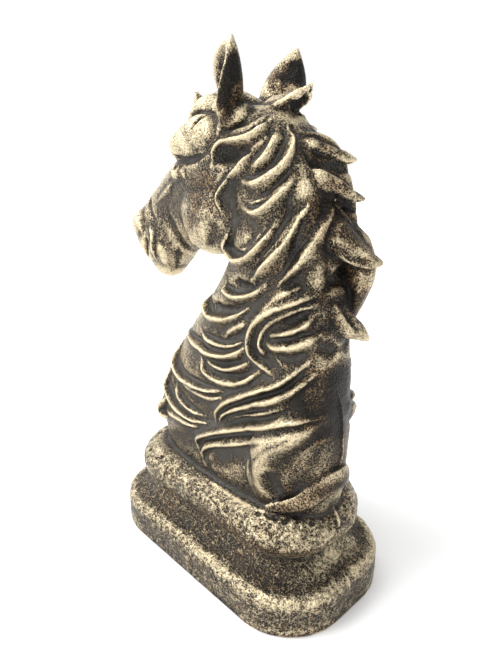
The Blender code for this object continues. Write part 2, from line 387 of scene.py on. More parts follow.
@dataclass(frozen=True)
class Section:
    """A stroke's section and ends. Sideways it is measured in half widths, from the ridge outwards.

    Lengths along it, and sizes at its ends, are shares of the whole.
    """

    gentle_end: float = 2.6
    gentle_power: float = 1.4
    steep_width: float = 0.7
    crest_width: float = 0.85
    crest_share: float = 0.4
    cut_place: float = -1.35
    cut_width: float = 0.65
    lean_reach: float = 0.35
    round_fall: float = 1.1
    round_power: float = 2.3
    root_width: float = 0.45
    widest_from: float = 0.3
    narrows_from: float = 0.55
    tip_loss: float = 0.5
    root_height: float = 0.2
    tip_height: float = 0.25
    end_length: float = 0.22
    end_fall: float = 1.6

    def even(self, beside: np.ndarray) -> np.ndarray:
        """Height of a stroke with both sides alike."""
        return np.exp(-self.round_fall * np.abs(beside) ** self.round_power)

    def leaning(self, outward: np.ndarray) -> np.ndarray:
        """Height of a stroke that falls gently outwards and steeply inwards.

        Args:
            outward: Places across it.

        Returns:
            The height at each place, 1 on the ridge.
        """
        gentle = np.clip(1 - outward / self.gentle_end, 0, 1) ** self.gentle_power
        steep = np.exp(-((outward / self.steep_width) ** 2))
        crest = np.exp(-((outward / self.crest_width) ** 2))
        slope = np.where(outward > 0, gentle, steep)
        return (1 - self.crest_share) * slope + self.crest_share * crest

    def undercut(self, outward: np.ndarray) -> np.ndarray:
        """Depth of the cut along the steep side, 1 at its deepest."""
        return np.exp(-(((outward - self.cut_place) / self.cut_width) ** 2))

    def taper(self, share: np.ndarray) -> np.ndarray:
        """Width along a stroke, as a share of its full width."""
        root = grown(self.root_width, smoothstep(0, self.widest_from, share))
        return root * (1 - self.tip_loss * smoothstep(self.narrows_from, 1, share))

    def ends(self, share: np.ndarray) -> np.ndarray:
        """Height along a stroke, which sinks towards its root and its tip."""
        root = grown(self.root_height, smoothstep(0, self.end_length, share))
        return root * grown(self.tip_height, smoothstep(0, self.end_length, 1 - share))

    def beyond(self, distance: np.ndarray) -> np.ndarray:
        """Height at distances beyond a stroke's ends, in half widths."""
        return np.exp(-self.end_fall * distance**2)


def sweep(
    shape: bmesh.types.BMesh, trail: Trail, width: float, rise: float, sides: int = 16
) -> None:
    """Adds a tress along a trail: buried at the root, fine at the tip, with thin edges.

    Args:
        shape: The mesh that it joins.
        trail: Where it runs.
        width: Full width in millimetres.
        rise: How far its middle stands out, in millimetres.
        sides: Points of a section.
    """
    angle = math.tau * np.arange(sides) / sides
    beside = np.cos(angle) * width / 2 * MM
    height = signed_power(np.sin(angle), TRESS_SHARPNESS) * rise * MM
    rings = []
    shares = np.linspace(0, 1, len(trail.centres))
    for share, centre, across, out in zip(shares, trail.centres, trail.across, trail.out):
        narrowing = max(0.0, (share - TRESS_WIDEST) / (1 - TRESS_WIDEST)) ** 2
        size = min(1.0, TRESS_ROOT + TRESS_OPENING * share) * (1 - TRESS_TIP_LOSS * narrowing)
        rings.append(centre + np.outer(beside * size, across) + np.outer(height * size, out))
    loft(shape, rings)


class Relief:
    """Fine carving: moves of a mesh's points along its normals."""

    section: Section = Section()
    foot_shade: float = -2.5
    foot_band: tuple[float, float] = (3.5, 0.5)
    base_share: float = 0.75
    base_band: tuple[float, float] = (SEAT_HEIGHT - 10, SEAT_HEIGHT)

    def __init__(self, mesh: bpy.types.Mesh) -> None:
        """Reads the mesh's points, edges and normals.

        Args:
            mesh: The mesh.
        """
        self.mesh = mesh
        self.points = np.empty(len(mesh.vertices) * 3, np.float32)
        mesh.vertices.foreach_get("co", self.points)
        self.points = self.points.reshape(-1, 3).astype(float)
        edges = np.empty(len(mesh.edges) * 2, np.int32)
        mesh.edges.foreach_get("vertices", edges)
        self.edges = edges.reshape(-1, 2)
        self.read_normals()

    def read_normals(self) -> None:
        """Reads the normals of the mesh as it was last written."""
        normals = np.empty(len(self.mesh.vertices) * 3, np.float32)
        self.mesh.vertex_normals.foreach_get("vector", normals)
        self.normals = normals.reshape(-1, 3).astype(float)

    def write(self) -> None:
        """Writes the points back to the mesh and reads the new normals."""
        self.mesh.vertices.foreach_set("co", self.points.astype(np.float32).ravel())
        self.mesh.update()
        self.read_normals()

    def rise(self, trail: Trail, width: float, lean: float) -> tuple[np.ndarray, np.ndarray, np.ndarray]:
        """How much of a stroke each point near a trail takes.

        Args:
            trail: Where the stroke runs.
            width: Its full width in millimetres.
            lean: As in the stroke.

        Returns:
            The points' indices, their shares, from 0 beside the stroke to 1 on its ridge, and how
            deep they lie in the undercut along its steep side, from 0 to 1.
        """
        reach = width * MM * (1 + self.section.lean_reach * abs(lean))
        low = trail.centres.min(axis=0) - reach
        high = trail.centres.max(axis=0) + reach
        some = np.flatnonzero(np.all((self.points > low) & (self.points < high), axis=1))
        gaps = self.points[some][:, None, :] - trail.centres[None, :, :]
        nearest = np.einsum("ijk,ijk->ij", gaps, gaps).argmin(axis=1)
        gap = gaps[np.arange(len(some)), nearest]
        facing = np.einsum("ij,ij->i", self.normals[some], trail.out[nearest])
        keep = (np.linalg.norm(gap, axis=1) < reach) & (facing > FACING[0])
        some, nearest, gap, facing = some[keep], nearest[keep], gap[keep], facing[keep]
        share = nearest / (len(trail.centres) - 1)
        taper = self.section.taper(share)
        beside = np.einsum("ij,ij->i", gap, trail.across[nearest]) / (width * MM / 2 * taper)
        along = np.einsum("ij,ij->i", gap, trail.along[nearest]) / (width * MM / 2)
        along *= (nearest == 0) | (nearest == len(trail.centres) - 1)
        ends = self.section.ends(share)
        ends *= self.section.beyond(along) * smoothstep(*FACING, facing)
        if not lean:
            return some, self.section.even(beside) * ends, np.zeros(len(some))
        outward = beside * lean
        return some, self.section.leaning(outward) * ends, self.section.undercut(outward) * ends

    def carve(
        self, skin: Skin, strokes: Sequence[Stroke], mirrored: bool = True, undercut: float = 0.0
    ) -> None:
        """Carves strokes together, so that where they overlap the higher one shows.

        Args:
            skin: The surface that they are cast on.
            strokes: Ridges, and grooves where the height is negative.
            mirrored: Whether the other side gets them too.
            undercut: Depth of the cut along a ridge's steep side, as a share of its height.
        """
        raised, cut = np.zeros(len(self.points)), np.zeros(len(self.points))
        for stroke in strokes:
            trail = skin.trail(stroke.path)
            for way in (trail, trail.mirrored()) if mirrored else (trail,):
                lean = stroke.lean if stroke.height > 0 else 0.0
                index, share, under = self.rise(way, stroke.width, lean)
                layer = raised if stroke.height > 0 else cut
                layer[index] += (share * abs(stroke.height)) ** 4
                if undercut:
                    cut[index] += (under * undercut * stroke.height) ** 4
        self.points += self.normals * ((raised**0.25 - cut**0.25) * MM)[:, None]

    def shade(self, skin: Skin, strokes: Sequence[Stroke], name: str) -> None:
        """Stores strokes as a mesh attribute instead of carving them, with a painted contact shadow round the
        foot.

        Args:
            skin: The surface that they are cast on.
            strokes: Where the attribute is raised, or lowered where the height is negative.
            name: Name of the mesh attribute.
        """
        # A painted contact shadow round the foot.
        value = self.foot_shade * smoothstep(*self.foot_band, self.points[:, 2] / MM)
        for stroke in strokes:
            trail = skin.trail(stroke.path)
            for way in (trail, trail.mirrored()):
                index, share, _ = self.rise(way, stroke.width, 0.0)
                value[index] += share * stroke.height
        self.store(name, value)

    def store(self, name: str, value: np.ndarray) -> None:
        """Stores a number for each point as a mesh attribute."""
        attribute = self.mesh.attributes.new(name, "FLOAT", "POINT")
        attribute.data.foreach_set("value", value.astype(np.float32))

    def dent(self, centre: Vector, radius: float, depth: float) -> None:
        """Presses a round hollow into the surface.

        Args:
            centre: Its middle in metres.
            radius: Its radius in millimetres.
            depth: Its depth in millimetres.
        """
        gap = self.points - np.array(centre)
        distance = np.linalg.norm(gap, axis=1) / (radius * MM)
        index = np.flatnonzero(distance < 1)
        bowl = (1 - distance[index] ** 2) ** 2
        self.points[index] -= self.normals[index] * (bowl * depth * MM)[:, None]

    def averaged(self, rounds: int) -> np.ndarray:
        """The points after averaging with their neighbours.

        Args:
            rounds: How often they are averaged.

        Returns:
            The points, one row each.
        """
        first, second = self.edges[:, 0], self.edges[:, 1]
        total = len(self.points)
        degree = np.bincount(first, minlength=total) + np.bincount(second, minlength=total)
        points = self.points.copy()
        for _ in range(rounds):
            sums = np.empty_like(points)
            for axis in range(3):
                sums[:, axis] = np.bincount(first, points[second, axis], total)
                sums[:, axis] += np.bincount(second, points[first, axis], total)
            points = 0.5 * points + 0.5 * sums / degree[:, None]
        return points

    def store_height(self, name: str, rounds: int) -> None:
        """Stores how far each point stands above its smoothed surroundings, in millimetres.

        Args:
            name: Name of the mesh attribute.
            rounds: Rounds of averaging, which set how wide the surroundings are.
        """
        gap = self.points - self.averaged(rounds)
        height = np.einsum("ij,ij->i", gap, self.normals) / MM
        level = self.points[:, 2] / MM
        self.store(name, height * grown(self.base_share, smoothstep(*self.base_band, level)))


@dataclass
class Base:
    """The stepped base: plinth, cove and round-edged roll. Sizes in millimetres."""

    plinth_half_length: float = 74.5
    plinth_half_width: float = 42.0
    plinth_corner: float = 32.0
    plinth_side: float = 15.5
    plinth_edge: float = 4.5
    plinth_edge_turn: float = math.radians(80)
    foot_chamfer: float = 0.8
    cove_height: float = 10.0
    cove_hollowness: float = 2.4
    roll_half_length: float = 66.0
    roll_half_width: float = 35.0
    roll_corner: float = 31.0
    roll_depth: float = 11.8
    roll_rise: float = 10.5
    roll_undercut: float = math.radians(72)
    roll_inner_turn: float = math.radians(112)
    corner_limit: float = 0.98
    corner_points: int = 22
    edge_rings: int = 6
    cove_rings: int = 8
    roll_rings: int = 24

    def ring(self, half_length: float, half_width: float, corner: float, height: float) -> np.ndarray:
        """A level ring with rounded corners.

        Args:
            half_length: Its extent along x.
            half_width: Its extent along y.
            corner: Its corners' radius.
            height: Its height.

        Returns:
            Its points in metres, one row each.
        """
        corner = min(corner, half_width * self.corner_limit)
        points = []
        for quarter in range(4):
            centre_x = (half_length - corner) * (1 if quarter in (0, 3) else -1)
            centre_y = (half_width - corner) * (1 if quarter in (0, 1) else -1)
            for i in range(self.corner_points):
                angle = math.radians(90 * (quarter + i / (self.corner_points - 1)))
                x = centre_x + corner * math.cos(angle)
                points.append((x, centre_y + corner * math.sin(angle), height))
        return np.array(points) * MM

    def plinth_ring(self, inset: float, height: float) -> np.ndarray:
        """A ring of the plinth, set in from its side."""
        length, width = self.plinth_half_length - inset, self.plinth_half_width - inset
        return self.ring(length, width, self.plinth_corner - inset, height)

    def roll_ring(self, angle: float) -> np.ndarray:
        """A ring of the roll.

        Args:
            angle: Where it lies round the roll's section, from its outermost line upwards.

        Returns:
            The ring's points in metres.
        """
        inset = self.roll_depth * (1 - math.cos(angle))
        centre = self.plinth_side + self.plinth_edge + self.cove_height
        centre += self.roll_rise * math.sin(self.roll_undercut)
        height = centre + self.roll_rise * math.sin(angle)
        length, width = self.roll_half_length - inset, self.roll_half_width - inset
        return self.ring(length, width, self.roll_corner - inset, height)

    def add(self, shape: bmesh.types.BMesh) -> None:
        """Adds the base to a mesh.

        Args:
            shape: The mesh that it joins.
        """
        rings = [self.plinth_ring(self.foot_chamfer, 0), self.plinth_ring(0, self.foot_chamfer)]
        rings.append(self.plinth_ring(0, self.plinth_side))
        for share in np.linspace(0, 1, self.edge_rings)[1:]:
            angle = share * self.plinth_edge_turn
            inset = self.plinth_edge * (1 - math.cos(angle))
            rings.append(self.plinth_ring(inset, self.plinth_side + self.plinth_edge * math.sin(angle)))
        edge, waist = rings[-1], self.roll_ring(-self.roll_undercut)
        for share in np.linspace(0, 1, self.cove_rings)[1:-1]:
            ring = edge + (waist - edge) * share
            ring[:, 2] = edge[:, 2] + (waist[:, 2] - edge[:, 2]) * share**self.cove_hollowness
            rings.append(ring)
        for angle in np.linspace(-self.roll_undercut, self.roll_inner_turn, self.roll_rings):
            rings.append(self.roll_ring(angle))
        loft(shape, rings)


@dataclass(frozen=True)
class NeckSection:
    """A level section of the neck, in millimetres."""

    height: float
    front: float
    back: float
    half_width: float
    squareness: float


@dataclass(frozen=True)
class HeadSection:
    """A section across the head from its upper line to its jaw, in millimetres."""

    upper_x: float
    upper_z: float
    jaw_x: float
    jaw_z: float
    half_width: float
    squareness: float
    flare: float


@dataclass(frozen=True)
class Swelling:
    """A rounded mass under the skin; off the mid-plane, there is one on each side."""

    centre: Point
    radii: Point


# From the seat up to the poll.
NECK = (
    NeckSection(-10, -53, 58, 23.0, 2.6),
    NeckSection(0, -54, 60, 23.5, 2.6),
    NeckSection(12, -57, 62, 24.0, 2.6),
    NeckSection(26, -59, 61, 24.0, 2.5),
    NeckSection(42, -53, 60, 24.0, 2.4),
    NeckSection(60, -40, 60, 23.5, 2.4),
    NeckSection(80, -24, 60, 22.5, 2.4),
    NeckSection(100, -7, 58, 21.5, 2.3),
    NeckSection(116, 2, 54, 20.5, 2.2),
    NeckSection(132, 4, 50, 20.0, 2.1),
    NeckSection(146, 3, 45, 19.0, 2.1),
    NeckSection(160, -2, 40, 17.5, 2.0),
    NeckSection(170, -4, 34, 15.0, 2.0),
    NeckSection(176, 0, 26, 10.0, 2.0),
)

# From the poll down to the lips.
HEAD = (
    HeadSection(22, 174, 24, 126, 13.0, 2.2, 0.0),
    HeadSection(8, 178, 12, 119, 17.0, 2.3, 0.0),
    HeadSection(-8, 178, 4, 114.5, 18.5, 2.3, 0.0),
    HeadSection(-21, 171, -4, 113, 18.5, 2.4, 0.1),
    HeadSection(-34, 158.5, -13, 114.5, 16.0, 2.5, 0.1),
    HeadSection(-48, 149.5, -23, 115, 13.5, 2.5, 0.1),
    HeadSection(-59, 142.5, -32, 113, 11.8, 2.5, 0.0),
    HeadSection(-69.5, 135.5, -41, 105, 11.8, 2.4, -0.1),
    HeadSection(-77.5, 128, -50, 98, 12.0, 2.4, -0.1),
    HeadSection(-81, 119, -61, 97, 10.8, 2.3, 0.0),
    HeadSection(-80, 112, -70, 102, 7.0, 2.2, 0.0),
)

# Cheek, brow, eye, nostril and chin, and the neck's rear.
SWELLINGS = (
    Swelling((-6, 12.5, 132), (22, 7.5, 19.5)),
    Swelling((-22, 12.5, 160.5), (11, 8.2, 7.5)),
    Swelling((-17, 13, 162.5), (12, 8, 8.5)),
    Swelling((-11, 13, 165), (12, 7.5, 9)),
    Swelling((-73, 6.5, 120), (8, 6, 8.5)),
    Swelling((-58.5, 0, 101), (10.5, 9.5, 9)),
    Swelling((-27, 15.5, 149), (5, 3.2, 4)),
    Swelling((38, 9, 36), (19, 15, 38)),
)

# Broad forms under the strands.
MASSES = (
    Stroke(((300, 124), (312, 150), (318, 190), (319, 240), (314, 292)), 20, 2.0),
    Stroke(((284, 122), (284, 160), (279, 205), (270, 245)), 20, 1.2),
    Stroke(((322, 362), (320, 410), (316, 455), (312, 492)), 30, 1.8),
    Stroke(((300, 392), (270, 404), (238, 412)), 14, 0.8),
    Stroke(((196, 345), (206, 372), (214, 398)), 20, 0.8),
)

# The mane's strands, from the poll down to the roll.
STRANDS = (
    Stroke(
        ((268, 116), (261, 125.5), (250, 134), (236.5, 138.5), (222, 141), (212, 149), (207, 164)), 5.0, 4.4
    ),
    Stroke(((270, 130), (262, 139), (252, 145), (243, 148)), 3.6, 2.0),
    Stroke(
        ((250, 148), (242, 159), (234, 170), (225, 182), (216.5, 194), (215.5, 203), (218, 213)), 3.6, 4.0, -1
    ),
    Stroke(((276, 126), (274, 139), (267, 151), (257, 161), (248, 165)), 4.6, 3.0),
    Stroke(
        ((290, 127), (293.5, 139), (288.5, 156), (277, 170.5), (262, 180), (250, 183), (240, 182)), 5.6, 4.8
    ),
    Stroke(((299, 166), (291, 176), (280, 187), (268, 196), (256, 201), (246, 203)), 3.4, 3.0),
    Stroke(((302, 168), (291, 182), (279, 195), (268, 205), (257, 211), (248, 212), (238, 209)), 5.0, 4.6),
    Stroke(((309, 196), (302, 208), (288, 227), (274, 245), (262, 257), (252, 263)), 3.6, 3.4),
    Stroke(((311, 190), (308, 207), (297, 223), (283, 245), (269, 260), (258, 272), (249, 279)), 5.4, 5.0),
    Stroke(((271, 227), (265, 238), (254, 250), (242, 259), (230, 259), (223, 250), (224.5, 238)), 4.6, 4.4),
    Stroke(((260, 231), (252, 242), (244, 249), (233, 251)), 3.4, 2.6),
    Stroke(((325, 192), (328, 211), (321, 228), (312.5, 245), (302, 262), (289, 275), (277, 286)), 6.4, 5.0),
    Stroke(((306, 286), (290, 292), (270, 304), (254, 318)), 4.4, 2.6),
    Stroke(((220.5, 282), (222, 290), (227, 295), (236, 297.5), (249, 295), (260, 287)), 4.0, 4.0),
    Stroke(((205.5, 292), (203, 305), (207, 316), (220, 319.5), (232, 317), (243, 310)), 4.4, 4.4),
    Stroke(((246, 324), (234, 328), (221, 336)), 5.0, 2.4),
    Stroke(((185, 326), (192, 343), (206, 353), (220, 356.5), (233, 354), (245, 346)), 4.4, 4.2),
    Stroke(((196, 330), (205, 341), (218, 347), (230, 347), (240, 342)), 3.6, 2.8),
    Stroke(((198, 353), (204, 370), (216, 380), (230, 384), (243, 382), (255, 374)), 5.0, 4.2),
    Stroke(((201, 358), (210, 366), (222, 370.5), (234, 368.5), (247, 363)), 3.6, 2.6),
    Stroke(((177, 339), (172, 360), (176, 374), (186, 384), (202, 390.5), (219, 392)), 4.4, 4.2),
    Stroke(((178, 382), (190, 391), (206, 398.5), (223, 399)), 3.6, 2.8),
    Stroke(((167, 365), (164.5, 384), (168, 398), (176, 410), (190, 420), (207, 426)), 4.4, 4.2),
    Stroke(((172, 382), (176, 398), (186, 410), (200, 418)), 3.6, 2.6),
    Stroke(((163, 398), (158.5, 409), (163, 419)), 5.0, 4.4),
    Stroke(((162, 410), (174, 418), (184, 424), (197, 429)), 3.8, 3.0),
    Stroke(
        ((322, 295), (302, 301.5), (286, 306), (270, 312), (258, 320), (250, 332), (248, 346),
         (252, 360), (276, 382)),
        5.0,
        5.0,
    ),
    Stroke(
        ((321, 307), (302, 310), (284, 316), (270, 322), (260.5, 331), (257, 341), (259, 352), (272, 372)),
        3.8,
        3.4,
    ),
    Stroke(((316, 318), (302, 328), (288, 334), (268, 337.5)), 3.8, 3.8),
    Stroke(((322, 337), (306, 344), (290, 349), (274, 349), (262, 345)), 5.5, 3.8),
    Stroke(
        ((308, 366), (290, 378), (274, 387.5), (258, 392), (238, 398), (224, 404), (214.5, 414), (213, 426)),
        4.6,
        4.6,
    ),
    Stroke(
        ((315, 378), (298, 390), (282, 398), (266, 404), (250, 406.5), (234, 410), (220, 416.5),
         (213.5, 428)),
        4.4,
        4.4,
    ),
    Stroke(((303, 391), (278, 408), (258, 414.5), (234, 419)), 4.0, 2.6),
    Stroke(
        ((326, 418), (302, 422), (280, 424.5), (258, 428), (236, 430), (210, 434), (194, 442), (201, 466)),
        4.8,
        4.6,
    ),
    Stroke(((263, 440), (246, 444), (226, 446.5), (208, 447), (199, 453), (199.5, 463)), 4.0, 3.2),
    Stroke(
        ((323, 422), (298, 434), (276, 442.5), (264, 450.5), (258, 462), (257, 476), (262, 490), (279, 513)),
        7.5,
        4.8,
        0.4,
    ),
    Stroke(((300, 430), (281, 437), (264, 444), (254, 455), (251, 466)), 3.4, 2.0),
)

# Locks that come out under the ears.
EAR_LOCKS = (
    Stroke(((246, 100), (238, 107), (229, 113), (220, 121), (213, 133)), 8.5, 3.8),
    Stroke(((262, 112), (252, 122), (240, 129), (228, 132.5), (215, 135)), 4.5, 1.4),
)

# Ridges on the crest's free tufts.
TUFTS = (
    Stroke(((303, 132), (318, 136.5), (336, 146), (352, 157)), 6.0, 1.2),
    Stroke(((310, 169), (325, 176), (343, 187), (360, 200)), 6.0, 1.8),
    Stroke(((328, 240), (344, 242), (360, 250), (374, 262)), 7.0, 1.2),
)

# Hollows between the strands.
HOLLOWS = (
    Stroke(((240, 114), (231, 121), (221, 128)), 4.0, -2.6),
    Stroke(((210, 161), (220, 154), (233, 151.5), (249, 146)), 7.0, -3.6),
    Stroke(((244, 114), (232, 124), (218, 132)), 3.5, -1.6),
    Stroke(((297, 125), (302, 145), (307, 162), (310.5, 178), (309, 192)), 5.0, -3.0),
    Stroke(((228, 281), (238, 287), (250, 289)), 4.5, -2.8),
    Stroke(((208, 302), (216, 309), (229, 309)), 4.5, -2.6),
    Stroke(((206, 359), (218, 364), (232, 362)), 4.0, -1.6),
    Stroke(((262, 352), (266, 362), (276, 372)), 5.0, -2.2),
    Stroke(((276, 327), (294, 320), (312, 313)), 5.0, -2.6),
    Stroke(((270, 357), (290, 361), (310, 354)), 6.0, -1.8),
    Stroke(((218, 428), (240, 423), (262, 420), (285, 412)), 4.5, -2.2),
    Stroke(((166, 434), (180, 440), (194, 447), (206, 472)), 12.0, -1.2),
    Stroke(((205, 464), (222, 459), (246, 456), (250, 474)), 12.0, -1.4),
    Stroke(((276, 288), (292, 284), (312, 279), (335, 278), (362, 284)), 8.0, -3.6),
    Stroke(((226, 222), (240, 222), (254, 230)), 10.0, -1.0),
    Stroke(((246, 206), (257, 205.5), (270, 197)), 2.2, -1.4),
    Stroke(((322, 345), (332, 352), (344, 352)), 7.0, -2.0),
    Stroke(((268, 470), (270, 486), (279, 500)), 7.0, -1.8),
)

# The crest's locks and tufts, the hem on the roll, and the forelock.
TRESSES = (
    Tress(((38, -8, 160), (44, -8, 145), (48, -8, 128), (51, -8, 105), (52, -8, 84)), 14, 5.0),
    Tress(((28, 4, 164), (34, 5.5, 161), (41, 8, 153), (46, 10, 142), (50, 12, 128), (52, 12, 112)), 18, 8.0),
    Tress(((47, 9, 134), (53, 13, 123), (56.5, 15, 110), (54.5, 14, 97), (51, 11, 80)), 17, 7.5),
    Tress(((36, -7, 161), (41, -3, 159.5), (45, 3, 157.5), (48.5, 8, 155.5), (52, 14, 155)), 10, 4.2),
    Tress(((43, -8, 151), (47, -4, 148), (51, 1, 145), (54, 7, 142), (57.5, 13.5, 140)), 10, 4.2),
    Tress(((47, -3, 140), (52, 0, 130), (57, 5, 122), (62, 10, 117), (67, 15, 115)), 15, 6.0),
    Tress(((52, -6, 104), (56, -1, 96), (59, 4, 90), (62, 9, 86), (64.5, 13, 82)), 12, 5.0),
    Tress(
        ((41, -24, 3), (54, -18, 9), (61, -9, 16), (64, 0, 19), (61, 9, 16), (54, 18, 9), (41, 24, 3)),
        10,
        1.6,
    ),
    Tress(((8, 1, 173), (19, 1, 174.5), (27, 2, 176), (33, 3, 179.5), (37, 4, 184.5)), 15, 5.5),
    Tress(((14, -1, 176), (2, -4, 179), (-8, -6, 179), (-16, -8, 178), (-21, -9, 183.5)), 11, 4.5),
    Tress(((4, -7, 175), (-6, -8, 177), (-16, -9, 177), (-25, -10, 170)), 10, 4.5),
    Tress(((10, 6, 175), (-4, 6, 178), (-15, 5, 174), (-23, 4, 165)), 9, 4.0),
)

# Eyelid, brow fold, cheek, jaw, nostril and lips.
FACE = (
    Stroke(((192, 128), (196, 120.5), (203, 115.5), (208, 114.8)), 2.4, -2.0),
    Stroke(((173, 154), (181, 159), (188, 161), (197, 158), (206, 153)), 3.4, -1.8),
    Stroke(((181, 168), (183, 173), (186, 179)), 4.0, 0.8, 0),
    Stroke(((175, 165), (174.5, 170)), 4.0, -1.0),
    Stroke(((173, 182), (166, 192), (157, 202)), 4.0, 0.8, 0),
    Stroke(((168, 210), (172, 225), (179, 238), (191, 250)), 6.0, -1.2),
    Stroke(((206, 200), (203, 216), (199, 231), (195, 244)), 9.0, 0.6, 0),
    Stroke(((215, 220), (213, 235), (208, 246)), 7.0, -0.8),
    Stroke(((150.5, 226), (153, 234), (153, 246), (155, 257)), 3.2, 1.7, 0),
    Stroke(((146, 236), (145.7, 245), (149, 258)), 4.0, -2.4),
    Stroke(((137, 210), (139, 222), (142, 234)), 4.5, 0.7, 0),
    Stroke(((151, 197), (150, 208), (155, 220)), 4.5, -0.9),
    Stroke(((179, 249), (178, 257), (177, 267)), 4.0, -1.0),
    Stroke(((158, 243), (163, 253), (167, 266)), 7.0, 0.9, 0),
)

# A hollow along the right ear.
EAR_EDGES = (
    Stroke(((283, 84), (288, 73), (296, 61)), 8.0, -1.2),
)

# Where the colour is darker, below 0, and where it is brighter, above 0: partly wear of the gold, partly
# painted shade, as on the ears' backs and under the roll, and painted highlights, as along the roll and the
# plinth's edge.
WEAR_AND_PAINTED_LIGHT = (
    Stroke(((236, 48), (233.5, 62), (229, 78), (225, 92), (224, 104), (228, 114)), 12.0, -3.8),
    Stroke(((226, 50), (219, 62), (214, 76)), 5.0, 0.6),
    Stroke(((234, 100), (242, 104), (254, 108)), 9.0, -1.6),
    Stroke(((301, 60), (296, 72), (288, 84)), 10.0, -2.8),
    Stroke(((270, 84), (274, 74), (282, 64)), 8.0, -1.2),
    Stroke(((200, 122), (196, 134), (184, 146)), 18.0, -0.1),
    Stroke(((215, 172), (200, 190), (192, 210)), 24.0, -0.8),
    Stroke(((178, 186), (166, 204), (158, 218)), 18.0, -0.8),
    Stroke(((190, 200), (194, 222), (204, 240)), 22.0, -0.9),
    Stroke(((162, 232), (172, 246), (184, 258)), 10.0, -0.9),
    Stroke(((312, 130), (330, 146), (350, 156)), 12.0, -1.1),
    Stroke(((318, 170), (336, 184), (350, 196)), 12.0, -1.1),
    Stroke(((330, 200), (338, 230), (350, 262)), 24.0, -1.1),
    Stroke(((346, 284), (352, 305), (358, 332)), 16.0, -1.8),
    Stroke(((330, 360), (334, 400), (334, 450)), 34.0, -2.0),
    Stroke(((284, 455), (300, 462), (296, 480)), 24.0, -1.0),
    Stroke(((297, 110), (301, 104), (305, 96)), 8.0, -2.8),
    Stroke(
        ((152, 444), (185, 477), (213, 494), (241, 510), (263, 524), (286, 533), (308, 533), (330, 518)),
        8.0,
        0.3,
    ),
    Stroke(((197, 474), (219, 488), (241, 502), (259, 510), (277, 516)), 1.8, 3.4),
    Stroke(((163, 484), (190, 503), (213, 517), (247, 541), (285, 554), (324, 546)), 6.0, -1.3),
    Stroke(((158, 501), (213, 543), (250, 570), (285, 586), (318, 578)), 7.0, -1.0),
    Stroke(((178, 545), (213, 562), (247, 587), (285, 604), (318, 601), (345, 581), (362, 562)), 7.0, 0.6),
    Stroke(((178, 520), (213, 548), (247, 575)), 9.0, 0.7),
    Stroke(((264, 500), (286, 510), (310, 500), (335, 488), (352, 470)), 12.0, -2.0),
    Stroke(((268, 92), (276, 85), (288, 80)), 12.0, -2.2),
    Stroke(((352, 262), (362, 285), (362, 305)), 20.0, -1.2),
    Stroke(((322, 558), (344, 548), (358, 534)), 11.0, 1.6),
    Stroke(((236, 110), (232, 118), (224, 124)), 9.0, -1.2),
    Stroke(((316, 196), (316, 206), (314, 216)), 12.0, -1.2),
    Stroke(((262, 514), (290, 518), (310, 514)), 5.0, -1.2),
)

# The lock behind the ears, and cuts between the tufts.
TOP_LOCK = (
    Stroke(((295, 113), (300, 104), (305, 95)), 8.0, -2.4),
    Stroke(((309, 88), (312, 100), (308, 116)), 2.6, 0.9),
    Stroke(((268, 106), (282, 102), (294, 94), (306, 87)), 3.0, 0.9),
    Stroke(((308, 148), (322, 155), (338, 164), (350, 172)), 6.0, -2.6),
    Stroke(((322, 192), (336, 198), (349, 206), (360, 212)), 5.0, -2.2),
    Stroke(((340, 305), (348, 315), (356, 329)), 3.6, -1.6),
)

# The mould's parting seam, behind the neck, on the roll and on the plinth.
SEAM = (
    Stroke(((338, 392), (342, 420), (342, 450), (344, 470)), 1.8, 0.8, 0),
    Stroke(((333, 505), (337, 517), (339, 530)), 1.8, 1.0, 0),
    Stroke(((345, 575), (349, 588)), 1.8, 0.7, 0),
)


@dataclass
class Ear:
    """A pricked ear: a bowed, twisted leaf with a hollow front. Sizes in millimetres."""

    root: Point = (3.5, 11.5, 170)
    tip: Point = (14, 18, 201)
    bow: Point = (-2.0, 2.4, 0)
    width: float = 15.0
    depth: float = 14.5
    turn: float = math.radians(28)
    twist: float = math.radians(58)
    root_size: float = 0.40
    belly: float = 0.82
    belly_power: float = 0.8
    tip_loss: float = 0.34
    hollow: float = 1.75
    hollow_power: float = 0.75
    sides: int = 32
    levels: int = 18

    def add(self, shape: bmesh.types.BMesh, side: int) -> None:
        """Adds the ear to a mesh.

        Args:
            shape: The mesh that it joins.
            side: -1 for the left ear, 1 for the right one.
        """
        root = drawn(self.root[0], side * self.root[1], self.root[2])
        tip = drawn(self.tip[0], side * self.tip[1], self.tip[2])
        bow = Vector((self.bow[0], side * self.bow[1], self.bow[2])) * MM
        along = (tip - root).normalized()
        rings = []
        for share in np.linspace(0, 1, self.levels):
            leaf = self.root_size + self.belly * math.sin(math.pi * share**self.belly_power)
            leaf -= self.tip_loss * share**5
            turn = self.turn + self.twist * float(share)
            across = along.cross(Vector((-math.cos(turn), side * math.sin(turn), 0))).normalized()
            ahead = across.cross(along)
            centre = root + (tip - root) * float(share) + bow * math.sin(math.pi * share)
            ring = []
            for k in range(self.sides):
                angle = math.tau * k / self.sides
                depth = math.sin(angle)
                if depth > 0:
                    depth *= 1 - self.hollow * math.sin(math.pi * share**self.hollow_power) * depth**2
                sideways = across * (math.cos(angle) * leaf * self.width / 2 * MM)
                ring.append(centre + sideways + ahead * (depth * leaf * self.depth / 2 * MM))
            rings.append(ring)
        loft(shape, rings)


